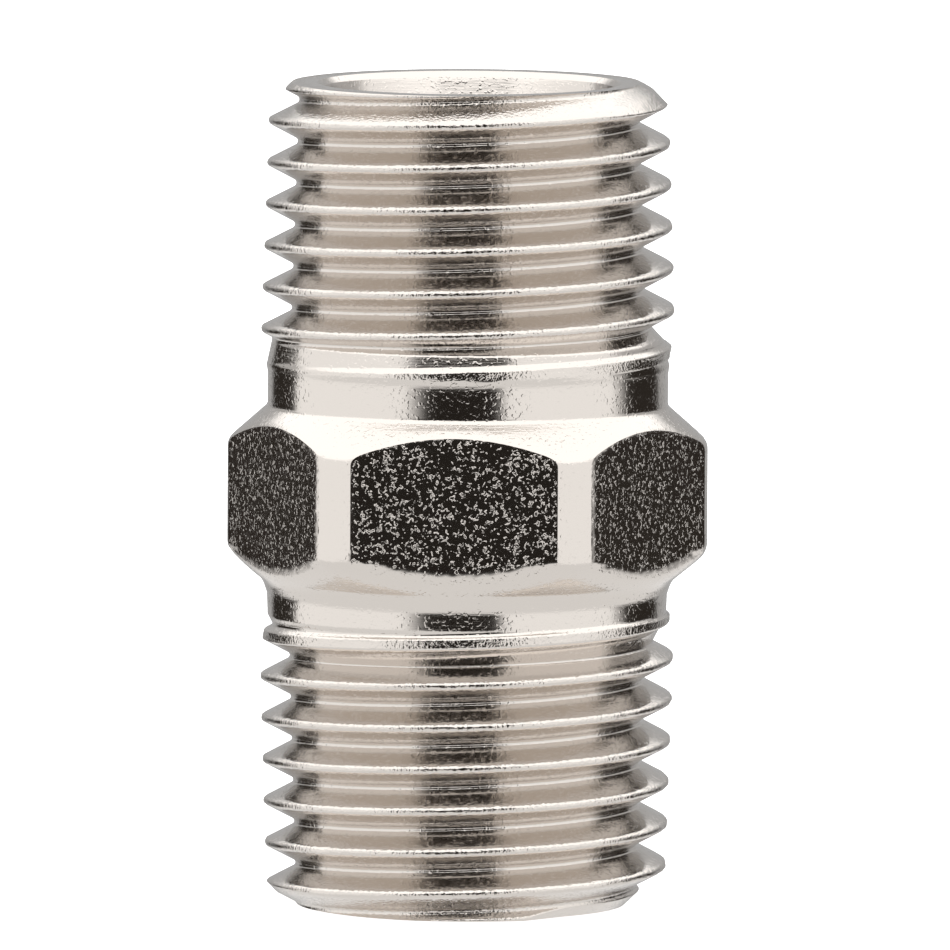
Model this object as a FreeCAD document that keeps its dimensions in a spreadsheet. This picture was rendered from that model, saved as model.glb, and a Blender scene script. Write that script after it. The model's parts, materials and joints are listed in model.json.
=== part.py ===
import FreeCAD, Part
import math
import os
import Sketcher

# A hex nipple: one turned bar with a taper pipe thread on each end, a hexagon collar between
# them and a bore right through. Millimetres. The origin is the centre of the lower end face,
# with +Z along the axis. One flat of the hexagon faces -Y.

# Driving dimensions: alias, value.
DIMENSIONS = [
    # taper pipe thread, size 1/4, 19 threads per inch, right-handed at both ends
    ("pitch", 1.337),
    ("gauge_diameter", 13.157),      # over the crests, at the gauge plane
    ("gauge_length", 6.0),           # end face to gauge plane
    ("taper", 0.0625),               # on the diameter
    ("flank_angle", 27.5),           # each flank, from square to the axis
    ("crest_radius", 0.18),
    ("root_radius", 0.11),
    ("crest_land", 0.15),            # narrow turned flat left along each crest
    # lengths along the axis
    ("upper_shank", 10.35),
    ("collar_height", 5.6),
    ("lower_shank", 10.45),
    # end faces and bore
    ("end_face_step", 1.757),        # end face narrower than the gauge diameter
    ("bore_diameter", 9.0),
    ("mouth_chamfer", 0.375),
    ("mouth_wall_share", 0.34),      # the most of the end wall that a mouth chamfer takes
    # plain neck between each thread and the collar
    ("upper_neck_step", 0.277),      # neck narrower than the gauge diameter
    ("lower_neck_step", 0.357),
    ("upper_neck_length", 1.37),
    ("lower_neck_length", 1.13),
    ("neck_fillet", 0.3),
    # where each thread runs out: the crests fade down to a narrow ridge beside the neck, and
    # the grooves wash out on a rising cone
    ("upper_ridge_step", 0.08),      # ridge wider than its neck
    ("lower_ridge_step", 0.24),
    ("upper_ridge_width", 0.32),
    ("lower_ridge_width", 0.62),
    ("upper_fade", 1.1),
    ("lower_fade", 1.3),
    ("upper_washout_reach", 0.73),
    ("lower_washout_reach", 0.8),
    ("upper_washout_depth", 0.155),
    ("lower_washout_depth", 0.42),
    ("upper_washout_slope", 43.0),
    ("lower_washout_slope", 30.0),
    ("washout_blend", 1.5),
    # hexagon collar
    ("across_flats", 13.9),
    ("corner_step", 1.5),            # the corners are turned down to this over the flats
    ("upper_chamfer_height", 1.13),
    ("lower_chamfer_height", 0.91),
    ("upper_corner_rounding", 0.5),
    ("lower_corner_rounding", 0.64),
]

ORIGIN = FreeCAD.Vector(0, 0, 0)
X_AXIS = FreeCAD.Vector(1, 0, 0)
Z_AXIS = FreeCAD.Vector(0, 0, 1)

TOTAL = "(Dims.lower_shank + Dims.collar_height + Dims.upper_shank)"
END_FACE_RADIUS = "((Dims.gauge_diameter - Dims.end_face_step) / 2)"
CORNER_RADIUS = "((Dims.across_flats + Dims.corner_step) / 2)"
THREAD_HEIGHT = "(Dims.pitch / 2 / tan(Dims.flank_angle * 1 deg))"
SHOULDER_ANGLE = 30.0        # slope beside the crest land, from the axis
SHOULDER_REACH = 0.4         # the cutter's edge from the middle of the crest, in lands
CUTTER_OVERHANG = 0.5        # how far the thread cutter stands outside the bar
CORE_DEPTH = 1.15            # how far below the neck the core of a run-out starts
RIDGE_OVERLAP = 0.04         # how far the last ridge laps over the neck
LEAD_IN_TURNS = 2            # turns that the thread cutter makes before its first full groove
RUN_ON_TURNS = 0.55          # turns that it makes past the neck's start, inside the core

# Height of the middle of the first full groove from the end face, on the +X side. Each is
# the thread's start position, so it turns the thread without changing its form.
FIRST_GROOVE = {"lower": 0.603, "upper": 1.160}


class Shank:
    """One threaded end. Its stations are distances from its end face towards the collar."""

    def __init__(self, name):
        self.name = name

    def size(self, word):
        return f"Dims.{self.name}_{word}"

    def height(self, station):
        """Height above the origin of a station."""
        if self.name == "lower":
            return f"({station})"
        return f"({TOTAL} - ({station}))"

    def neck_start(self):
        return f"({self.size('shank')} - {self.size('neck_length')})"

    def neck_radius(self):
        return f"((Dims.gauge_diameter - {self.size('neck_step')}) / 2)"

    def ridge_radius(self):
        return f"({self.neck_radius()} + {self.size('ridge_step')} / 2)"


LOWER = Shank("lower")
UPPER = Shank("upper")


def major_radius(station):
    """Radius over the rounded crests, at a distance from the end face."""
    return f"(Dims.gauge_diameter / 2 + ({station} - Dims.gauge_length) * Dims.taper / 2)"


def bar_radius(station):
    """Radius of the bar before threading: the crests' narrow lands lie on it."""
    sagitta = "(Dims.crest_radius - sqrt(Dims.crest_radius ^ 2 - (Dims.crest_land / 2) ^ 2))"
    return f"({major_radius(station)} - {sagitta})"


def tip_radius(station):
    """Radius of the grooves' sharp V, before its tip is rounded."""
    truncation = "Dims.crest_radius * (1 / sin(Dims.flank_angle * 1 deg) - 1)"
    return f"({major_radius(station)} + {truncation} - {THREAD_HEIGHT})"


def make_sheet(doc):
    sheet = doc.addObject("Spreadsheet::Sheet", "Dims")
    for row, (alias, value) in enumerate(DIMENSIONS, start=1):
        sheet.set(f"A{row}", alias)
        sheet.set(f"B{row}", str(value))
        sheet.setAlias(f"B{row}", alias)
    doc.recompute()
    return sheet


def number(owner, expression):
    """The present value of a spreadsheet expression."""
    value = owner.evalExpression(expression)
    return float(getattr(value, "Value", value))


def new_sketch(doc, name):
    """A sketch on the XZ plane, so that up in the sketch is along the axis."""
    sketch = doc.addObject("Sketcher::SketchObject", name)
    sketch.Placement = FreeCAD.Placement(ORIGIN, FreeCAD.Rotation(X_AXIS, 90))
    return sketch


def bind(sketch, index, expression):
    sketch.setExpression(f"Constraints[{index}]", expression)


def fix_coordinate(sketch, kind, geometry, point, expression):
    """Hold one coordinate of a point at the value of an expression, on either side of zero."""
    value = number(sketch, expression)
    axis = {"DistanceX": -2, "DistanceY": -1}[kind]
    if abs(value) < 1e-9:
        sketch.addConstraint(Sketcher.Constraint("PointOnObject", geometry, point, axis))
    elif value > 0:
        index = sketch.addConstraint(Sketcher.Constraint(kind, -1, 1, geometry, point, value))
        bind(sketch, index, expression)
    else:
        index = sketch.addConstraint(Sketcher.Constraint(kind, geometry, point, -1, 1, -value))
        bind(sketch, index, f"-({expression})")


def fix_point(sketch, geometry, point, across, up):
    fix_coordinate(sketch, "DistanceX", geometry, point, across)
    fix_coordinate(sketch, "DistanceY", geometry, point, up)


def corner_round(before, corner, after, radius):
    """The two tangent points and the centre of the arc that rounds a corner."""
    towards_before = (before - corner).normalize()
    towards_after = (after - corner).normalize()
    half_angle = towards_before.getAngle(towards_after) / 2
    reach = radius / math.tan(half_angle)
    first = corner + towards_before * reach
    last = corner + towards_after * reach
    middle = (towards_before + towards_after).normalize()
    centre = corner + middle * (radius / math.sin(half_angle))
    return first, last, centre


def add_corner_arc(sketch, first, last, centre, radius):
    """Add an arc and say which of its ends is the first one along the outline."""
    def angle(point):
        return math.atan2(point.y - centre.y, point.x - centre.x)

    anticlockwise = (first - centre).cross(last - centre).z > 0
    start, end = (first, last) if anticlockwise else (last, first)
    circle = Part.Circle(centre, Z_AXIS, radius)
    arc = sketch.addGeometry(Part.ArcOfCircle(circle, angle(start), angle(end)), False)
    return arc, (1, 2) if anticlockwise else (2, 1)


def draw_outline(sketch, corners):
    """Draw a closed outline. A corner is (across, up, rounding), each an expression, and a
    rounding of None leaves the corner sharp."""
    count = len(corners)
    points = [FreeCAD.Vector(number(sketch, x), number(sketch, y), 0) for x, y, _ in corners]
    ends = []
    for i, (_, _, rounding) in enumerate(corners):
        if rounding is None:
            ends.append((points[i], points[i], None))
            continue
        radius = number(sketch, rounding)
        ends.append(corner_round(points[i - 1], points[i], points[(i + 1) % count], radius))
    lines = []
    for i in range(count):
        start, end = ends[i][1], ends[(i + 1) % count][0]
        lines.append(sketch.addGeometry(Part.LineSegment(start, end), False))
    for i, (across, up, rounding) in enumerate(corners):
        line_in, line_out = lines[i - 1], lines[i]
        if rounding is None:
            sketch.addConstraint(Sketcher.Constraint("Coincident", line_in, 2, line_out, 1))
            fix_point(sketch, line_out, 1, across, up)
            continue
        radius = number(sketch, rounding)
        first, last, centre = ends[i]
        arc, (arc_first, arc_last) = add_corner_arc(sketch, first, last, centre, radius)
        sketch.addConstraint(Sketcher.Constraint("Tangent", line_in, 2, arc, arc_first))
        sketch.addConstraint(Sketcher.Constraint("Tangent", arc, arc_last, line_out, 1))
        index = sketch.addConstraint(Sketcher.Constraint("Radius", arc, radius))
        bind(sketch, index, rounding)
        corner = sketch.addGeometry(Part.Point(points[i]), True)
        sketch.addConstraint(Sketcher.Constraint("PointOnObject", corner, 1, line_in))
        sketch.addConstraint(Sketcher.Constraint("PointOnObject", corner, 1, line_out))
        fix_point(sketch, corner, 1, across, up)


def revolve(doc, name, corners):
    """Turn an outline, given as radius and height, right round the axis."""
    sketch = new_sketch(doc, f"{name}_outline")
    draw_outline(sketch, corners)
    solid = doc.addObject("Part::Revolution", name)
    solid.Source = sketch
    solid.Axis = Z_AXIS
    solid.Angle = 360
    solid.Solid = True
    return solid


def bar_corners(shank):
    """Outline of one end of the plain bar, from its end face to the collar."""
    neck_radius = shank.neck_radius()
    ridge_radius = shank.ridge_radius()
    fade = f"({shank.neck_start()} - {shank.size('fade')})"
    ridge = f"({shank.neck_start()} - {shank.size('ridge_width')})"
    lap = f"({shank.neck_start()} + {RIDGE_OVERLAP})"
    face_radius = END_FACE_RADIUS
    chamfer = f"(({bar_radius('0')} - {face_radius}) / (1 - Dims.taper / 2))"
    inner_radius = f"{neck_radius} - {CORE_DEPTH} / 2"
    stations = [
        (face_radius, "0"),
        (bar_radius(chamfer), chamfer),
        (bar_radius(fade), fade),
        (ridge_radius, ridge),
        (ridge_radius, lap),
        (inner_radius, lap),
    ]
    return [(radius, shank.height(station), None) for radius, station in stations]


def make_bar(doc):
    """The bar turned to its thread diameters, before the collar is built on it."""
    axis_ends = [("0", UPPER.height("0"), None), ("0", "0", None)]
    return revolve(doc, "bar", bar_corners(LOWER) + bar_corners(UPPER)[::-1] + axis_ends)


def cutter_corners(shank, station):
    """Outline of the thread cutter with the middle of its tip at a station: a V with a
    rounded tip, and shoulders that round over the crests on each side."""
    flank = "(Dims.flank_angle * 1 deg)"
    shoulder = f"({SHOULDER_ANGLE} * 1 deg)"
    major = major_radius(station)
    # the crest circle touches the shoulder and the flank, which meet at the corner
    middle = f"((90 deg - {flank} + {shoulder}) / 2)"
    spread = f"((90 deg - {flank} - {shoulder}) / 2)"
    reach = f"(Dims.crest_radius / cos{spread})"
    corner_radius = f"({major} - Dims.crest_radius + {reach} * cos{middle})"
    corner_offset = f"({reach} * sin{middle})"
    edge_offset = f"(Dims.crest_land * {SHOULDER_REACH})"
    edge_radius = f"({corner_radius} + ({corner_offset} - {edge_offset}) * tan{shoulder})"
    outside = f"({major} + {CUTTER_OVERHANG})"
    side = [
        (outside, edge_offset, None),
        (edge_radius, edge_offset, None),
        (corner_radius, corner_offset, "Dims.crest_radius"),
    ]
    crest_before = f"({station} - Dims.pitch / 2)"
    crest_after = f"({station} + Dims.pitch / 2)"
    before = [(r, shank.height(f"{crest_before} + {z}"), k) for r, z, k in side]
    after = [(r, shank.height(f"{crest_after} - {z}"), k) for r, z, k in side]
    tip = (tip_radius(station), shank.height(station), "Dims.root_radius")
    return before + [tip] + after[::-1]


def make_cutter(doc, shank):
    """One right-handed taper thread as a solid, from outside the end face to past the neck's
    start."""
    start = f"({FIRST_GROOVE[shank.name]} - {LEAD_IN_TURNS} * Dims.pitch)"
    finish = f"({shank.neck_start()} + {RUN_ON_TURNS} * Dims.pitch)"
    sketch = new_sketch(doc, f"{shank.name}_cutter_outline")
    draw_outline(sketch, cutter_corners(shank, start))
    path = doc.addObject("Part::Helix", f"{shank.name}_helix")
    path.LocalCoord = "Right-handed"
    path.SegmentLength = 1
    path.setExpression("Pitch", "Dims.pitch")
    path.setExpression("Height", f"{finish} - {start}")
    path.setExpression("Radius", tip_radius(start))
    path.setExpression("Angle", "atan(Dims.taper / 2)")
    if shank is UPPER:
        path.Placement = FreeCAD.Placement(ORIGIN, FreeCAD.Rotation(X_AXIS, 180))
    path.setExpression("Placement.Base.z", shank.height(start))
    doc.recompute()
    cutter = doc.addObject("Part::Sweep", f"{shank.name}_cutter")
    cutter.Sections = [sketch]
    edges = [f"Edge{i}" for i in range(1, len(path.Shape.Edges) + 1)]
    cutter.Spine = (path, edges)
    cutter.Solid = True
    cutter.Frenet = True
    return cutter


def core_corners(shank):
    """Outline of one end of the core, from inside the thread out to the collar's corners."""
    neck_radius = shank.neck_radius()
    washout_radius = f"({neck_radius} - {shank.size('washout_depth')})"
    washout = f"({shank.neck_start()} - {shank.size('washout_reach')})"
    start_radius = f"({neck_radius} - {CORE_DEPTH})"
    slope = f"tan({shank.size('washout_slope')} * 1 deg)"
    start = f"({washout} - ({washout_radius} - {start_radius}) / {slope})"
    shank_length = shank.size("shank")
    chamfer_end = f"({shank_length} + {shank.size('chamfer_height')})"
    stations = [
        ("0", start, None),
        (start_radius, start, None),
        (washout_radius, washout, "Dims.washout_blend"),
        (neck_radius, shank.neck_start(), None),
        (neck_radius, shank_length, "Dims.neck_fillet"),
        (CORNER_RADIUS, chamfer_end, shank.size("corner_rounding")),
    ]
    return [(radius, shank.height(station), rounding) for radius, station, rounding in stations]


def make_collar(doc):
    """The thread run-outs, the necks and the collar, turned and then milled to a hexagon. The
    prism is the hexagon bar: it is wider than the necks, so it only trims the collar."""
    core = revolve(doc, "core", core_corners(LOWER) + core_corners(UPPER)[::-1])
    hexagon = doc.addObject("Part::Prism", "hexagon")
    hexagon.Polygon = 6
    hexagon.setExpression("Circumradius", "Dims.across_flats / sqrt(3)")
    hexagon.setExpression("Height", TOTAL)
    return join(doc, "Part::Common", "collar", core, hexagon)


def make_bore(doc):
    """The through bore, with a 45 degree chamfer at each mouth, limited by the end wall."""
    bore_radius = "(Dims.bore_diameter / 2)"
    wall = f"({END_FACE_RADIUS} - {bore_radius})"
    depth = f"min(Dims.mouth_chamfer; Dims.mouth_wall_share * {wall})"
    mouth_radius = f"({bore_radius} + {depth})"
    corners = [
        ("0", "0", None),
        (mouth_radius, "0", None),
        (bore_radius, LOWER.height(depth), None),
        (bore_radius, UPPER.height(depth), None),
        (mouth_radius, UPPER.height("0"), None),
        ("0", UPPER.height("0"), None),
    ]
    return revolve(doc, "bore", corners)


def join(doc, kind, name, base, tool):
    """A boolean of two solids, checked: a cut has to take metal off, a fuse has to add some."""
    result = doc.addObject(kind, name)
    result.Base = base
    result.Tool = tool
    doc.recompute()
    change = result.Shape.Volume - base.Shape.Volume
    if abs(change) < 1e-3 or (change > 0) != (kind == "Part::Fuse"):
        raise RuntimeError(f"{name} changed the volume by {change:.4f} mm3")
    print(f"{name:14s} {change:+9.2f} mm3")
    return result


def make_nipple(doc):
    lower_threaded = join(doc, "Part::Cut", "lower_threaded", make_bar(doc), make_cutter(doc, LOWER))
    threaded = join(doc, "Part::Cut", "threaded", lower_threaded, make_cutter(doc, UPPER))
    solid_nipple = join(doc, "Part::Fuse", "solid_nipple", threaded, make_collar(doc))
    nipple = join(doc, "Part::Cut", "nipple_body", solid_nipple, make_bore(doc))
    nipple.Label = "nipple_body"
    nipple.Placement = FreeCAD.Placement()
    doc.recompute()
    return nipple


def check_document(doc, parts):
    for item in doc.Objects:
        if "Invalid" in item.State or "Error" in item.State:
            raise RuntimeError(f"{item.Name} is {item.State}")
    for part in parts:
        if part.Shape.isNull() or not part.Shape.isValid():
            raise RuntimeError(f"{part.Label} has no valid shape")
        if len(part.Shape.Solids) != 1:
            raise RuntimeError(f"{part.Label} has {len(part.Shape.Solids)} solids")


def main():
    doc = FreeCAD.newDocument("hex_nipple")
    make_sheet(doc)
    parts = [make_nipple(doc)]
    check_document(doc, parts)
    os.makedirs("parts", exist_ok=True)
    for part in parts:
        part.Shape.exportStep(f"parts/{part.Label}.step")
        box = part.Shape.optimalBoundingBox(False, False)
        print(f"{part.Label}: {box.XLength:.3f} x {box.YLength:.3f} x {box.ZLength:.3f} mm,"
              f" {part.Shape.Volume:.1f} mm3, {len(part.Shape.Faces)} faces")


main()
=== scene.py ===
import json
import math

import bmesh
import bpy
from mathutils import Matrix, Vector, noise


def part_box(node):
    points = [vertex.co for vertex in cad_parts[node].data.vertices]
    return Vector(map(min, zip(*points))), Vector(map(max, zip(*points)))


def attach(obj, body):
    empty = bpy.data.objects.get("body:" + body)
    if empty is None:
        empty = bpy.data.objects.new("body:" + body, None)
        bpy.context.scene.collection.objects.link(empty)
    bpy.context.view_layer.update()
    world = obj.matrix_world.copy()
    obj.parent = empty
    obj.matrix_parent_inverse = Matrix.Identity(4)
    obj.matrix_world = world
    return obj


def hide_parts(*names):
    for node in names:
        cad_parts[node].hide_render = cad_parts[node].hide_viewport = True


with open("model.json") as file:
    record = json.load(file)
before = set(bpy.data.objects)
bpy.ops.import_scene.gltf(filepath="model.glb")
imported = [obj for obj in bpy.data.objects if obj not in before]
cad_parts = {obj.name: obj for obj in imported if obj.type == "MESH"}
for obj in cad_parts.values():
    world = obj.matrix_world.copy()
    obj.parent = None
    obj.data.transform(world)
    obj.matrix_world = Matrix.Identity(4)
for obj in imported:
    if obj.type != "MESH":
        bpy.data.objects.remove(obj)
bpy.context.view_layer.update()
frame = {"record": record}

# A nickel-plated brass hex nipple. The mesh is made in millimetres and scaled to metres at
# the end. Heights are from the lower end face, along +Z, and azimuths are from +X.
MM = 0.001

# ---------------------------------------------------------------- sizes, from the frame
MOUNTS = {mount["name"]: mount for mount in frame["record"]["mounts"]}
CAD_CORNER = [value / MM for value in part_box("nipple_body")[1]]
TOTAL = CAD_CORNER[2]
CORNER_RADIUS = CAD_CORNER[0]
FLAT_DISTANCE = abs(MOUNTS["front_flat"]["pos_m"][1]) / MM
BORE_RADIUS = MOUNTS["bore"]["dims"]["r_mm"]
GAUGE_RADIUS = MOUNTS["lower_thread"]["dims"]["r_mm"]

# ---------------------------------------------------------------- sizes of the thread
PITCH = 1.337
GAUGE_LENGTH = 6.0                 # from an end face to where the taper has its gauge radius
TAPER = 1 / 32                     # on the radius
FLANK = math.radians(27.5)         # half the angle between two flanks
CREST_ROUND = 0.15
ROOT_ROUND = 0.13
END_FACE_RADIUS = 5.7              # where the chamfer of an end starts
MOUTH_RADIUS = 4.875               # where the chamfer of the bore starts
LAND_DROP = 0.003                  # the turned bar's surface below the rounded crest
GROOVES_STOP = 0.04                # no groove is cut further than this along a neck
END_LIMIT = 7.0                    # wider than any thread

# the uneven crests: depths and distances in mm, burring from 0 to 1
BURR_DEPTH = 0.03
BURR_NOISE = 3.3                   # waves in a millimetre, about
BURR_SINK = 0.1                    # burrs lie a little lower than the crest
CREST_BURRED = (0.1, 0.2)          # burred to the first distance from its middle, then fading
LAND_BURRED = 0.5                  # where the turned bar's surface is left
FIRST_TURN_BURRED = 0.8
FIRST_TURN = (0.6, 1.2)            # stations between which the first turn's burring fades

# the thin first part of the lower thread is broken away, between these azimuths in degrees
BREAK_BEGINS = (-105, -45)
BREAK_ENDS = (60, 100)
BREAK_RADIUS = 5.1                 # what is left of it at the end face
BREAK_SLOPE = 1.05


def between(value, low, high):
    """0 below low, 1 above high, and smooth between them."""
    t = min(max((value - low) / (high - low), 0.0), 1.0)
    return t * t * (3 - 2 * t)


def mix(a, b, t):
    return a + (b - a) * t


class End:
    """One threaded end. Stations are distances from its end face towards the collar."""

    def __init__(self, upper, shank, neck, neck_radius, neck_start, ridge_radius, ridge_width,
                 fade, washout, first_groove):
        self.upper = upper
        self.shank = shank                       # end face to collar
        self.neck = neck                         # stations and radii along the plain neck
        self.neck_radius = neck_radius
        self.neck_start = neck_start             # where the grooves have washed out
        self.ridge_radius = ridge_radius
        self.ridge_start = neck_start - ridge_width
        self.fade_start = neck_start - fade      # where the crests begin to drop
        # where the grooves run out: station, radius, and slope before there in degrees
        self.washout_station, self.washout_radius, self.washout_slope = washout
        self.first_groove = first_groove         # station of a groove's middle, on +X

    def station(self, height):
        return TOTAL - height if self.upper else height

    def height(self, station):
        return TOTAL - station if self.upper else station

    def neck_at(self, station):
        """Radius of the plain neck, which narrows or widens a little towards the collar."""
        for (before, wide), (after, narrow) in zip(self.neck, self.neck[1:]):
            if station <= after:
                return mix(wide, narrow, max(station - before, 0) / (after - before))
        return self.neck[-1][1]


LOWER = End(upper=False, shank=10.45, neck=[(9.4, 6.4), (10.0, 6.42), (10.45, 6.575)],
            neck_radius=6.4, neck_start=9.32, ridge_radius=6.52,
            ridge_width=0.62, fade=1.3, washout=(8.52, 5.98, 30.0), first_groove=0.603)
UPPER = End(upper=True, shank=10.35, neck=[(8.98, 6.48), (9.28, 6.42), (10.1, 6.42)],
            neck_radius=6.44, neck_start=8.98, ridge_radius=6.48,
            ridge_width=0.32, fade=1.1, washout=(8.25, 6.285, 43.0), first_groove=1.245)

# ---------------------------------------------------------------- mesh density
THREAD_STEPS = 144                 # steps in one turn
COLLAR_STEPS = 144
SKIN_GRID = 0.085                  # grid on the six flats
GRID_WIDTH = 7.2                   # a little wider than a flat
OUTLINE_STEP = 0.2                 # longest straight run in the collar's outline
FLARE_STEP = 0.25                  # the same in the bore's flare
ROUND_STEPS = 6                    # steps in a rounded corner of the collar
EDGE_STEPS = 3                     # steps in a rounded edge of the bore
MERGED = 0.0005                    # vertices nearer than this are one
SAME_HEIGHT = 0.002
SAME_PLANE = 1e-4
CUT_MARGIN = 1e-5
BAND_END = 0.2                     # the thread's band ends this far along each neck
RING_START = 0.35                  # and the collar's ring starts here
# rows across one groove, upwards from the middle of a crest: crest, flank, root, flank, crest
ROWS = [0, 0.032, 0.065, 0.099, 0.133, 0.195, 0.27, 0.35, 0.43, 0.50,
        0.5535, 0.59, 0.63, 0.6685, 0.707, 0.747, 0.7835, 0.837,
        0.907, 0.987, 1.067, 1.14, 1.204, 1.238, 1.272, 1.305]


# ---------------------------------------------------------------- the shape of an end
def bar_radius(end, station):
    """The turned bar before threading: end chamfer, taper, and the drop to the last ridge."""
    tapered = GAUGE_RADIUS + (station - GAUGE_LENGTH) * TAPER - LAND_DROP
    radius = min(tapered, END_FACE_RADIUS + max(station, 0))
    if station > end.fade_start:
        t = min((station - end.fade_start) / (end.ridge_start - end.fade_start), 1)
        radius = mix(radius, end.ridge_radius, t)
    return radius


def groove_radius(end, azimuth, station):
    """Radius on the rounded V of the thread, and the distance from the middle of a crest."""
    turn = PITCH * azimuth / (2 * math.pi)
    middle = end.first_groove - turn if end.upper else end.first_groove + turn
    up = (station - middle + PITCH / 2) % PITCH - PITCH / 2
    major = GAUGE_RADIUS + (station - GAUGE_LENGTH) * TAPER
    sharp_crest = major + CREST_ROUND * (1 / math.sin(FLANK) - 1)
    tip = sharp_crest - PITCH / 2 / math.tan(FLANK)
    crest = PITCH / 2 - abs(up)
    if crest < CREST_ROUND * math.cos(FLANK):
        radius = major - CREST_ROUND + math.sqrt(CREST_ROUND ** 2 - crest ** 2)
    elif abs(up) < ROOT_ROUND * math.cos(FLANK):
        radius = tip + ROOT_ROUND / math.sin(FLANK) - math.sqrt(ROOT_ROUND ** 2 - up ** 2)
    else:
        radius = tip + abs(up) / math.tan(FLANK)
    return radius, crest


def core_radius(end, station):
    """The rising cone that the grooves wash out on, and the neck."""
    steep = math.tan(math.radians(end.washout_slope))
    shallow = (end.neck_radius - end.washout_radius) / (end.neck_start - end.washout_station)
    past = station - end.washout_station
    radius = end.washout_radius + past * (steep if past < 0 else shallow)
    return min(radius, end.neck_radius)


def thread_start(end, azimuth, station):
    """Largest radius where the thin first part of the lower thread has been broken away."""
    turn = math.degrees(azimuth)
    middle = end.first_groove + PITCH * azimuth / (2 * math.pi)
    if end.upper or station > middle:
        return END_LIMIT
    broken = between(turn, *BREAK_BEGINS) * (1 - between(turn, *BREAK_ENDS))
    return mix(END_LIMIT, BREAK_RADIUS + BREAK_SLOPE * max(station, 0), broken)


def thread_radius(end, azimuth, height):
    """Radius of an end's surface, and how burred it is there, from 0 to 1."""
    station = end.station(height)
    if station > end.neck_start + GROOVES_STOP:
        return end.neck_at(station), 0
    groove, crest = groove_radius(end, azimuth, station)
    bar = bar_radius(end, station)
    radius = max(min(bar, groove), core_radius(end, station))
    radius = min(radius, thread_start(end, azimuth, station))
    burr = 1 - between(crest, *CREST_BURRED)
    if radius == bar:
        burr = max(burr, LAND_BURRED)
    return radius, burr


# ---------------------------------------------------------------- bmesh helpers
def add_outline(bm, points):
    """An open line of (radius, height) points in the XZ plane."""
    verts = [bm.verts.new((radius, 0, height)) for radius, height in points]
    edges = [bm.edges.new(pair) for pair in zip(verts, verts[1:])]
    return verts + edges


def spin(bm, geometry, steps, rise=0.0):
    """Spin an outline once about the axis, rising a little at each step for a thread."""
    bmesh.ops.spin(bm, geom=geometry, cent=(0, 0, 0), axis=(0, 0, 1), dvec=(0, 0, rise),
                   angle=2 * math.pi, steps=steps, use_merge=False, use_duplicate=False)
    bmesh.ops.remove_doubles(bm, verts=bm.verts, dist=MERGED)


def face_outward(bm):
    """Turn every face of an open band so that it looks away from the axis."""
    wrong = [face for face in bm.faces
             if face.normal.dot(face.calc_center_median() * Vector((1, 1, 0))) < 0]
    bmesh.ops.reverse_faces(bm, faces=wrong)


def cut(bm, faces, point, normal, clear_outer=False):
    """Cut some faces with a plane, and return all the pieces that they became."""
    geometry = set(faces)
    for face in faces:
        geometry.update(face.edges)
        geometry.update(face.verts)
    result = bmesh.ops.bisect_plane(bm, geom=list(geometry), dist=CUT_MARGIN, plane_co=point,
                                    plane_no=normal, clear_outer=clear_outer)
    return [item for item in result["geom"] if isinstance(item, bmesh.types.BMFace)]


def cut_in_strips(bm, faces, normal, first, spacing, count):
    """Cut faces at evenly spaced parallel planes, and return all the pieces."""
    done = []
    for i in range(count):
        place = first + i * spacing
        pieces = cut(bm, faces, normal * place, normal)
        faces = []
        for piece in pieces:
            beyond = piece.calc_center_median().dot(normal) > place
            (faces if beyond else done).append(piece)
    return done + faces


def boundary_at(bm, height):
    """The open edges that lie at one height."""
    return [edge for edge in bm.edges
            if edge.is_boundary and all(abs(v.co.z - height) < SAME_HEIGHT for v in edge.verts)]


def rounded(before, corner, after, radius, count):
    """Points that round a corner between two straight runs."""
    corner, before, after = Vector(corner), Vector(before), Vector(after)
    one, two = (before - corner).normalized(), (after - corner).normalized()
    half = one.angle(two) / 2
    centre = corner + (one + two).normalized() * (radius / math.sin(half))
    start = corner + one * (radius / math.tan(half))
    finish = corner + two * (radius / math.tan(half))
    points = []
    for i in range(count + 1):
        spoke = (start - centre).lerp(finish - centre, i / count).normalized()
        points.append(tuple(centre + spoke * radius))
    return points


def divided(points, longest):
    """The same line, with its long runs divided."""
    fine = []
    for start, finish in zip(points, points[1:]):
        count = math.ceil(math.dist(start, finish) / longest)
        for i in range(count):
            fine.append((mix(start[0], finish[0], i / count), mix(start[1], finish[1], i / count)))
    return fine + [points[-1]]


def add_to(bm, other):
    """Move one bmesh's geometry into another."""
    mesh = bpy.data.meshes.new("part")
    other.to_mesh(mesh)
    other.free()
    bm.from_mesh(mesh)
    bpy.data.meshes.remove(mesh)


# ---------------------------------------------------------------- threaded ends
def make_thread(bm, end):
    """The outside of one end, from its end face to just past the start of the neck."""
    band = bmesh.new()
    crest = end.height(end.first_groove) - PITCH / 2
    bottom, top = sorted((end.height(0), end.height(end.neck_start + BAND_END)))
    first = crest - PITCH * math.ceil((crest - bottom) / PITCH + 1)
    turns = math.ceil((top - first) / PITCH)
    outline = add_outline(band, [(GAUGE_RADIUS, first + row) for row in ROWS + [PITCH]])
    spin(band, outline, THREAD_STEPS, PITCH / THREAD_STEPS)
    one_turn = band.verts[:] + band.edges[:] + band.faces[:]
    for turn in range(1, turns):
        copy = bmesh.ops.duplicate(band, geom=one_turn)["geom"]
        verts = [item for item in copy if isinstance(item, bmesh.types.BMVert)]
        bmesh.ops.translate(band, vec=(0, 0, turn * PITCH), verts=verts)
    bmesh.ops.remove_doubles(band, verts=band.verts, dist=MERGED)
    cut(band, band.faces[:], (0, 0, bottom), (0, 0, -1), clear_outer=True)
    cut(band, band.faces[:], (0, 0, top), (0, 0, 1), clear_outer=True)
    shape_thread(band, end)
    band.normal_update()
    face_outward(band)
    add_to(bm, band)


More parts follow.
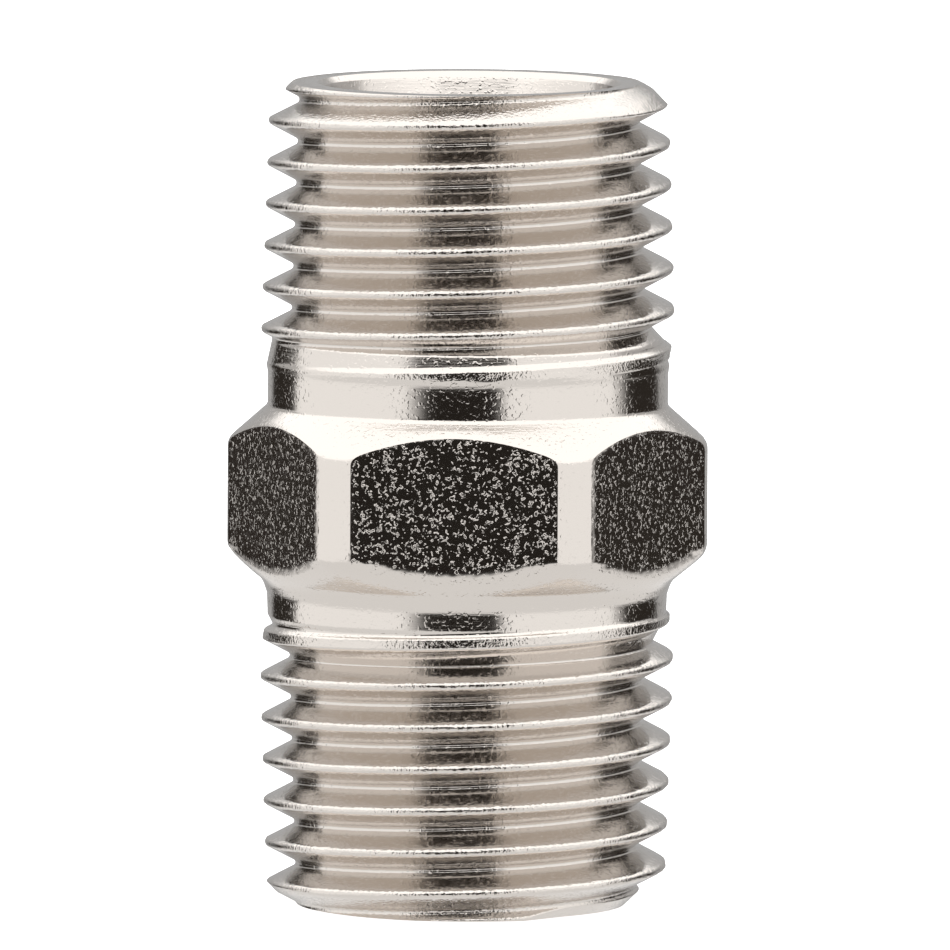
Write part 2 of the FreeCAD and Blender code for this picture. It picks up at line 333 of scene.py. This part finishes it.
def shape_thread(band, end):
    """Move each vertex of the plain band in or out to the thread's surface, burrs and all."""
    burred = band.verts.layers.float.new("burred")
    for vert in band.verts:
        azimuth = math.atan2(vert.co.y, vert.co.x)
        radius, burr = thread_radius(end, azimuth, vert.co.z)
        first_turn = FIRST_TURN_BURRED * (1 - between(end.station(vert.co.z), *FIRST_TURN))
        vert[burred] = max(burr, first_turn)
        radius += burr * BURR_DEPTH * (noise.noise(vert.co * BURR_NOISE) - BURR_SINK)
        vert.co.x = radius * math.cos(azimuth)
        vert.co.y = radius * math.sin(azimuth)


# ---------------------------------------------------------------- collar
UPPER_CHAMFER = 1.13
LOWER_CHAMFER = 0.91
UPPER_ROUNDING = 0.5
LOWER_ROUNDING = 0.64
UPPER_FILLET = 0.25
LOWER_FILLET = 0.6
CRISP = 0.12                       # how far the rounding of a flat's edge reaches
ROLLED = 0.47                      # the same where its lower edge rolls over
UNDERSIDE = (0.1, 0.6)             # how far down a surface faces where that starts and is full
WORN = 0.25                        # the share of that reach where the rough skin is worn off
SOFT_BELOW = 11.95                 # the flats' edges are shaded soft up to this height
SKIN_DEPTH = 0.012
FINE_PITS = 6.5                    # waves in a millimetre, about
COARSE_PITS = 2.2
SKIN_LEVEL, FINE_SHARE, COARSE_SHARE, DEEPEST = 0.5, 0.7, 0.35, 1.3


def collar_outline():
    """Half section of the collar and the ends of both necks, from the bottom up."""
    lower_face = LOWER.height(LOWER.shank)
    upper_face = UPPER.height(UPPER.shank)
    low_start = LOWER.neck_start + RING_START
    high_start = UPPER.neck_start + RING_START
    knee_station, knee_radius = LOWER.neck[1]
    low_neck = (LOWER.neck_at(low_start), LOWER.height(low_start))
    low_knee = (knee_radius, LOWER.height(knee_station))
    low_corner = (LOWER.neck_at(LOWER.shank), lower_face)
    low_shoulder = (CORNER_RADIUS, lower_face + LOWER_CHAMFER)
    high_shoulder = (CORNER_RADIUS, upper_face - UPPER_CHAMFER)
    high_corner = (UPPER.neck_at(UPPER.shank), upper_face)
    high_neck = (UPPER.neck_at(high_start), UPPER.height(high_start))
    points = [low_neck, low_knee]
    points += rounded(low_knee, low_corner, low_shoulder, LOWER_FILLET, ROUND_STEPS)
    points += rounded(low_corner, low_shoulder, high_shoulder, LOWER_ROUNDING, ROUND_STEPS)
    points += rounded(low_shoulder, high_shoulder, high_corner, UPPER_ROUNDING, ROUND_STEPS)
    points += rounded(high_shoulder, high_corner, high_neck, UPPER_FILLET, ROUND_STEPS)
    return points + [high_neck]


def flat_normals():
    return [Vector((math.sin(turn), -math.cos(turn), 0))
            for turn in (math.radians(60 * i) for i in range(6))]


def depth_in_turning(outline, radius, height):
    """How deep a point lies under the turned outline, and the outline's own normal there."""
    best, normal = math.inf, None
    for (r0, z0), (r1, z1) in zip(outline, outline[1:]):
        along_r, along_z = r1 - r0, z1 - z0
        length = math.hypot(along_r, along_z)
        t = ((radius - r0) * along_r + (height - z0) * along_z) / length ** 2
        t = min(max(t, 0), 1)
        gap = math.hypot(radius - r0 - t * along_r, height - z0 - t * along_z)
        if gap < best:
            best, normal = gap, (along_z / length, -along_r / length)
    return best, normal


def round_flat_edges(collar, outline, rough):
    """Round the edges between the turned body and the flats, most of all the lower ones."""
    for vert in collar.verts:
        radial = Vector((vert.co.x, vert.co.y, 0))
        radius = radial.length
        flat = max(flat_normals(), key=radial.dot)
        behind_flat = FLAT_DISTANCE - radial.dot(flat)
        if behind_flat > ROLLED:
            continue
        behind_turning, (out, up) = depth_in_turning(outline, radius, vert.co.z)
        reach = mix(CRISP, ROLLED, between(-up, *UNDERSIDE))
        if behind_flat > reach:
            continue
        vert[rough] *= between(behind_turning, 0, WORN * reach)
        share = 1 - abs(behind_flat - behind_turning) / reach
        if share <= 0:
            continue
        turned = radial / radius * out + Vector((0, 0, up))
        lean = 0.5 + 0.5 * (behind_flat - behind_turning) / reach
        direction = flat.lerp(turned, lean).normalized()
        vert.co -= direction * share ** 2 * reach / 4
    for edge in collar.edges:
        if (edge.verts[0].co.z + edge.verts[1].co.z) / 2 < SOFT_BELOW:
            edge.smooth = True


def make_collar(bm):
    """The turned collar with its six flats cut, and a fine grid on each flat."""
    collar = bmesh.new()
    outline = collar_outline()
    spin(collar, add_outline(collar, divided(outline, OUTLINE_STEP)), COLLAR_STEPS)
    rough = collar.verts.layers.float.new("rough")
    for normal in flat_normals():
        for face in cut_flat(collar, normal):
            for vert in face.verts:
                vert[rough] = 1.0
    round_flat_edges(collar, outline, rough)
    for vert in collar.verts:
        if vert[rough] > 0:
            flat = max(flat_normals(), key=vert.co.dot)
            vert.co -= flat * SKIN_DEPTH * vert[rough] * pits(vert.co)
    collar.normal_update()
    face_outward(collar)
    add_to(bm, collar)


def cut_flat(collar, normal):
    """Cut one flat, close the hole with a fine grid, and return the grid's faces."""
    low = LOWER.height(LOWER.shank)
    tall = UPPER.height(UPPER.shank) - low
    up = Vector((0, 0, 1))
    cut(collar, [face for face in collar.faces if face.normal.dot(normal) != 0],
        normal * FLAT_DISTANCE, normal, clear_outer=True)
    hole = [edge for edge in collar.edges if edge.is_boundary
            and all(abs(v.co.dot(normal) - FLAT_DISTANCE) < SAME_PLANE for v in edge.verts)]
    faces = bmesh.ops.edgeloop_fill(collar, edges=hole)["faces"]
    for edge in hole:
        edge.smooth = False
    faces = cut_in_strips(collar, faces, up.cross(normal), -GRID_WIDTH / 2, SKIN_GRID,
                          int(GRID_WIDTH / SKIN_GRID) + 1)
    return cut_in_strips(collar, faces, up, low, SKIN_GRID, int(tall / SKIN_GRID) + 1)


def pits(point):
    """Depth of the rough skin of the bar that the flats were drawn with, from 0 up."""
    fine = noise.noise(point * FINE_PITS)
    coarse = noise.noise(point * COARSE_PITS + Vector((3, 7, 1)))
    return min(max(SKIN_LEVEL + FINE_SHARE * fine + COARSE_SHARE * coarse, 0), DEEPEST)


# ---------------------------------------------------------------- bore and end faces
THROAT_RADIUS = 4.70               # where the mouth's chamfer meets the flare of the bore
FLARE_DEPTH = 0.9
RING_RADIUS = 5.05                 # the end faces are closed from here out to the thread
EDGE_ROUND = 0.05
BESIDE = 0.12                      # a row beside each rounded edge keeps the flat runs flat
PAST_EDGE = 0.2                    # the flare's first row, as a share of its length
STRAIGHT_ROW = 2                   # a row this far past the flare, in the straight bore


def make_bore(bm):
    """The bore, its two mouths and the inner part of each end face."""
    mouth = (MOUTH_RADIUS, 0)
    throat = (THROAT_RADIUS, MOUTH_RADIUS - THROAT_RADIUS)
    inside = (BORE_RADIUS, FLARE_DEPTH)
    flare_row = (mix(throat[0], inside[0], PAST_EDGE), mix(throat[1], inside[1], PAST_EDGE))
    points = [(RING_RADIUS, 0), (MOUTH_RADIUS + BESIDE, 0)]
    points += rounded((RING_RADIUS, 0), mouth, throat, EDGE_ROUND, EDGE_STEPS)
    points += rounded(mouth, throat, inside, EDGE_ROUND, EDGE_STEPS)
    points += divided([flare_row, inside], FLARE_STEP)
    points += [(BORE_RADIUS, FLARE_DEPTH + BESIDE), (BORE_RADIUS, FLARE_DEPTH + STRAIGHT_ROW)]
    points += [(radius, TOTAL - height) for radius, height in points[::-1]]
    bore = bmesh.new()
    spin(bore, add_outline(bore, points), THREAD_STEPS)
    bore.normal_update()
    wrong = []
    for face in bore.faces:
        middle = face.calc_center_median()
        inward = Vector((-middle.x, -middle.y, 0)).normalized()
        inward.z = 1 if middle.z > TOTAL / 2 else -1
        if face.normal.dot(inward) < 0:
            wrong.append(face)
    bmesh.ops.reverse_faces(bore, faces=wrong)
    add_to(bm, bore)


def close_gaps(bm):
    """Join the bands into one closed skin: the two end faces and the two necks."""
    for height in (0, TOTAL):
        edges = boundary_at(bm, height)
        bmesh.ops.bridge_loops(bm, edges=edges)
        for edge in edges:
            edge.smooth = False
    for end in (LOWER, UPPER):
        edges = boundary_at(bm, end.height(end.neck_start + BAND_END))
        edges += boundary_at(bm, end.height(end.neck_start + RING_START))
        bmesh.ops.bridge_loops(bm, edges=edges)


def make_nipple():
    bm = bmesh.new()
    make_thread(bm, LOWER)
    make_thread(bm, UPPER)
    make_collar(bm)
    make_bore(bm)
    close_gaps(bm)
    bmesh.ops.triangulate(bm, faces=[face for face in bm.faces if len(face.verts) > 4])
    bmesh.ops.recalc_face_normals(bm, faces=bm.faces)
    for face in bm.faces:
        face.smooth = True
    open_edges = sum(1 for edge in bm.edges if len(edge.link_faces) != 2)
    print("nipple: faces", len(bm.faces), "open edges", open_edges,
          "volume", round(bm.calc_volume(), 1))
    bmesh.ops.scale(bm, vec=(MM, MM, MM), verts=bm.verts)
    mesh = bpy.data.meshes.new("hex_nipple")
    bm.to_mesh(mesh)
    bm.free()
    piece = bpy.data.objects.new("hex_nipple", mesh)
    bpy.context.collection.objects.link(piece)
    return piece


# ---------------------------------------------------------------- nickel plate
NICKEL = (0.68, 0.635, 0.59, 1)
POLISH = 0.13                      # roughness of the bright plate
EVEN = (1, 1, 1)
ROUND_THE_BAR = (1, 1, 14)         # squeezes a noise into fine lines round the bar

# noise scales are in waves per metre, and depths are what the light sees, in mm
LATHE_SCALE, LATHE_DETAIL, LATHE_DEPTH = 1500, 3, 0.003
SPECK_SCALE, SPECK_PEAKS, SPECK_DEPTH = 8000, (0.56, 0.72), 0.0045
TORN_SCALE, TORN_DEPTH = 11000, 0.024
SKIN_SCALE, SKIN_PEAKS, SKIN_SHINE_DEPTH = 9000, (0.60, 0.74), 0.010
SKIN_DISTORTION = 0.8


def nickel_plate():
    """Bright nickel on turned brass, and on the rough drawn skin of the flats."""
    material = bpy.data.materials.new("nickel_plate")
    material.use_nodes = True
    nodes, links = material.node_tree.nodes, material.node_tree.links
    shader = nodes["Principled BSDF"]
    shader.inputs["Metallic"].default_value = 1.0
    shader.inputs["Base Color"].default_value = NICKEL
    shader.inputs["Roughness"].default_value = POLISH
    place = nodes.new("ShaderNodeTexCoord")
    roughness = nodes.new("ShaderNodeAttribute")
    roughness.attribute_name = "rough"
    burrs = nodes.new("ShaderNodeAttribute")
    burrs.attribute_name = "burred"

    lathe = add_noise(nodes, links, place, ROUND_THE_BAR, LATHE_SCALE, LATHE_DETAIL)
    turned = add_bump(nodes, links, lathe, LATHE_DEPTH, before=None)
    specks = add_noise(nodes, links, place, EVEN, SPECK_SCALE, detail=1)
    specks = add_peaks(nodes, links, specks, *SPECK_PEAKS)
    turned = add_bump(nodes, links, specks, SPECK_DEPTH, before=turned)
    torn = add_noise(nodes, links, place, EVEN, TORN_SCALE, detail=1)
    turned = add_bump(nodes, links, torn, TORN_DEPTH, before=turned)
    links.new(burrs.outputs["Fac"], turned.inputs["Strength"])

    squiggles = add_noise(nodes, links, place, EVEN, SKIN_SCALE, detail=1)
    squiggles.inputs["Distortion"].default_value = SKIN_DISTORTION
    skin = add_peaks(nodes, links, squiggles, *SKIN_PEAKS)
    rough = add_bump(nodes, links, skin, SKIN_SHINE_DEPTH, before=None)

    blend = nodes.new("ShaderNodeMix")
    blend.data_type = "VECTOR"
    links.new(roughness.outputs["Fac"], blend.inputs["Factor"])
    links.new(turned.outputs["Normal"], blend.inputs[4])
    links.new(rough.outputs["Normal"], blend.inputs[5])
    links.new(blend.outputs[1], shader.inputs["Normal"])
    return material


def add_noise(nodes, links, place, stretch, scale, detail):
    mapping = nodes.new("ShaderNodeMapping")
    mapping.inputs["Scale"].default_value = stretch
    links.new(place.outputs["Object"], mapping.inputs["Vector"])
    texture = nodes.new("ShaderNodeTexNoise")
    texture.inputs["Scale"].default_value = scale
    texture.inputs["Detail"].default_value = detail
    links.new(mapping.outputs["Vector"], texture.inputs["Vector"])
    return texture


def add_peaks(nodes, links, texture, low, high):
    """Only the peaks of a noise, so that most of the surface stays plain."""
    peaks = nodes.new("ShaderNodeMapRange")
    peaks.inputs["From Min"].default_value = low
    peaks.inputs["From Max"].default_value = high
    links.new(texture.outputs["Fac"], peaks.inputs["Value"])
    return peaks


def add_bump(nodes, links, texture, depth, before):
    bump = nodes.new("ShaderNodeBump")
    bump.inputs["Distance"].default_value = depth * MM
    links.new(texture.outputs[0], bump.inputs["Height"])
    if before:
        links.new(before.outputs["Normal"], bump.inputs["Normal"])
    return bump


# ---------------------------------------------------------------- floor
FLOOR_SIZE = 1.5                   # half its width, in metres
FLOOR_GAP = 0.02                   # keeps the floor clear of the lower end face, in mm
FLOOR_PAINT = (0.9, 0.9, 0.9, 1)
FLOOR_GLOW = 0.7                   # lifts the floor to the white of the backdrop


def make_floor():
    bm = bmesh.new()
    bmesh.ops.create_grid(bm, x_segments=1, y_segments=1, size=FLOOR_SIZE)
    mesh = bpy.data.meshes.new("floor")
    bm.to_mesh(mesh)
    bm.free()
    floor = bpy.data.objects.new("floor", mesh)
    floor.location.z = -FLOOR_GAP * MM
    bpy.context.collection.objects.link(floor)
    material = bpy.data.materials.new("pale_floor")
    material.use_nodes = True
    shader = material.node_tree.nodes["Principled BSDF"]
    shader.inputs["Base Color"].default_value = FLOOR_PAINT
    shader.inputs["Roughness"].default_value = 0.9
    shader.inputs["Specular IOR Level"].default_value = 0.1
    shader.inputs["Emission Color"].default_value = (1, 1, 1, 1)
    shader.inputs["Emission Strength"].default_value = FLOOR_GLOW
    mesh.materials.append(material)
    floor.visible_glossy = False       # the metal mirrors the studio, which has its own floor


# ---------------------------------------------------------------- camera
VIEW_AZIMUTH = 3.5                 # degrees to the right of the front
VIEW_ELEVATION = 5.3
VIEW_ROLL = 0.29
CAMERA_DISTANCE = 0.846            # metres
LENS, SENSOR = 1000, 36            # a long lens, for a nearly parallel view
AIM_RIGHT, AIM_UP = 0.24, 0.58     # the view's middle, past the nipple's own, in mm


def make_camera():
    data = bpy.data.cameras.new("camera")
    data.lens = LENS
    data.sensor_width = SENSOR
    data.clip_start, data.clip_end = 0.01, 20
    camera = bpy.data.objects.new("camera", data)
    bpy.context.collection.objects.link(camera)
    turn, tilt = math.radians(VIEW_AZIMUTH), math.radians(VIEW_ELEVATION)
    back = Vector((math.sin(turn) * math.cos(tilt), -math.cos(turn) * math.cos(tilt),
                   math.sin(tilt)))
    right = Vector((math.cos(turn), math.sin(turn), 0))
    up = back.cross(right)
    centre = Vector((0, 0, TOTAL / 2 * MM))
    aim = centre + right * AIM_RIGHT * MM + up * AIM_UP * MM
    camera.location = aim + back * CAMERA_DISTANCE
    roll = Matrix.Rotation(math.radians(VIEW_ROLL), 4, "Z")
    camera.rotation_mode = "QUATERNION"
    turned = (-back).to_track_quat("-Z", "Y").to_matrix().to_4x4() @ roll
    camera.rotation_quaternion = turned.to_quaternion()
    bpy.context.scene.camera = camera


# ---------------------------------------------------------------- light
# brightness of the studio round the object: degrees from the camera's side, and level
WALLS = [(-180, 0.45), (-155, 0.45), (-151, 0.03), (-120, 0.03), (-116, 1.17), (-37, 1.17),
         (-24, 0.02), (18, 0.02), (22, 1.17), (92, 1.17), (105, 0.03), (140, 0.03),
         (146, 0.45), (180, 0.45)]
HIGH_WALLS = [(-180, 0.45), (-122, 0.55), (-116, 1.17), (-40, 1.17), (-29, 0.02), (22, 0.02),
              (29, 1.17), (92, 1.17), (105, 0.55), (180, 0.45)]
OVERHEAD = 1.6
GROUND = 0.95
# where each of them starts and is full: the sine of the elevation of a direction
HIGH_WALLS_FROM = (0.09, 0.14)
OVERHEAD_FROM = (0.34, 0.46)
GROUND_FROM = (-0.26, -0.37)
DARK = 0.1                         # walls darker than this are gaps, and a little brown
GAP_WARMTH = 0.85
BACKDROP = (1, 1, 1, 1)            # what the camera itself sees behind the object


def make_light():
    """A studio as a ring of soft boxes, with dark gaps between them, under a bright ceiling."""
    world = bpy.data.worlds.new("studio")
    bpy.context.scene.world = world
    world.use_nodes = True
    nodes, links = world.node_tree.nodes, world.node_tree.links
    direction = nodes.new("ShaderNodeTexCoord")
    split = nodes.new("ShaderNodeSeparateXYZ")
    links.new(direction.outputs["Generated"], split.inputs[0])
    place = add_bearing(nodes, links, split)
    colour = add_ring(nodes, links, place, WALLS)
    high = add_ring(nodes, links, place, HIGH_WALLS)
    colour = mix_colour(nodes, links, add_range(nodes, links, split, *HIGH_WALLS_FROM), colour,
                        high)
    for level, span in ((OVERHEAD, OVERHEAD_FROM), (GROUND, GROUND_FROM)):
        amount = add_range(nodes, links, split, *span)
        colour = mix_colour(nodes, links, amount, colour, (level, level, level, 1))
    seen = nodes.new("ShaderNodeLightPath")
    colour = mix_colour(nodes, links, seen.outputs["Is Camera Ray"], colour, BACKDROP)
    links.new(colour, nodes["Background"].inputs["Color"])
    bpy.context.scene.view_settings.view_transform = "Standard"


def add_bearing(nodes, links, split):
    """Bearing of a direction round the axis, from 0 to 1, with the camera's side at a half."""
    flip = nodes.new("ShaderNodeMath")
    flip.operation = "MULTIPLY"
    flip.inputs[1].default_value = -1
    links.new(split.outputs["Y"], flip.inputs[0])
    bearing = nodes.new("ShaderNodeMath")
    bearing.operation = "ARCTAN2"
    links.new(split.outputs["X"], bearing.inputs[0])
    links.new(flip.outputs[0], bearing.inputs[1])
    place = nodes.new("ShaderNodeMapRange")
    place.inputs["From Min"].default_value = math.radians(VIEW_AZIMUTH - 180)
    place.inputs["From Max"].default_value = math.radians(VIEW_AZIMUTH + 180)
    links.new(bearing.outputs[0], place.inputs["Value"])
    return place


def add_ring(nodes, links, place, stops):
    """The brightness of the walls all the way round."""
    ramp = nodes.new("ShaderNodeValToRGB")
    links.new(place.outputs[0], ramp.inputs["Fac"])
    elements = ramp.color_ramp.elements
    while len(elements) < len(stops):
        elements.new(1)
    for element, (angle, level) in zip(elements, stops):
        warmth = GAP_WARMTH if level < DARK else 1
        element.position = (angle + 180) / 360
        element.color = (level, level * warmth, level * warmth ** 2, 1)
    return ramp.outputs["Color"]


def add_range(nodes, links, split, low, full):
    """How far up or down a direction points: 0 at low, and 1 at full."""
    amount = nodes.new("ShaderNodeMapRange")
    amount.inputs["From Min"].default_value = low
    amount.inputs["From Max"].default_value = full
    links.new(split.outputs["Z"], amount.inputs["Value"])
    return amount.outputs[0]


def mix_colour(nodes, links, factor, colour, other):
    """Blend a colour with another, which is a socket or a plain colour."""
    blend = nodes.new("ShaderNodeMix")
    blend.data_type = "RGBA"
    links.new(factor, blend.inputs["Factor"])
    links.new(colour, blend.inputs[6])
    if isinstance(other, tuple):
        blend.inputs[7].default_value = other
    else:
        links.new(other, blend.inputs[7])
    return blend.outputs[2]


nipple = make_nipple()
nipple.data.materials.append(nickel_plate())
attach(nipple, "root")
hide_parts("nipple_body")
make_floor()
make_camera()
make_light()
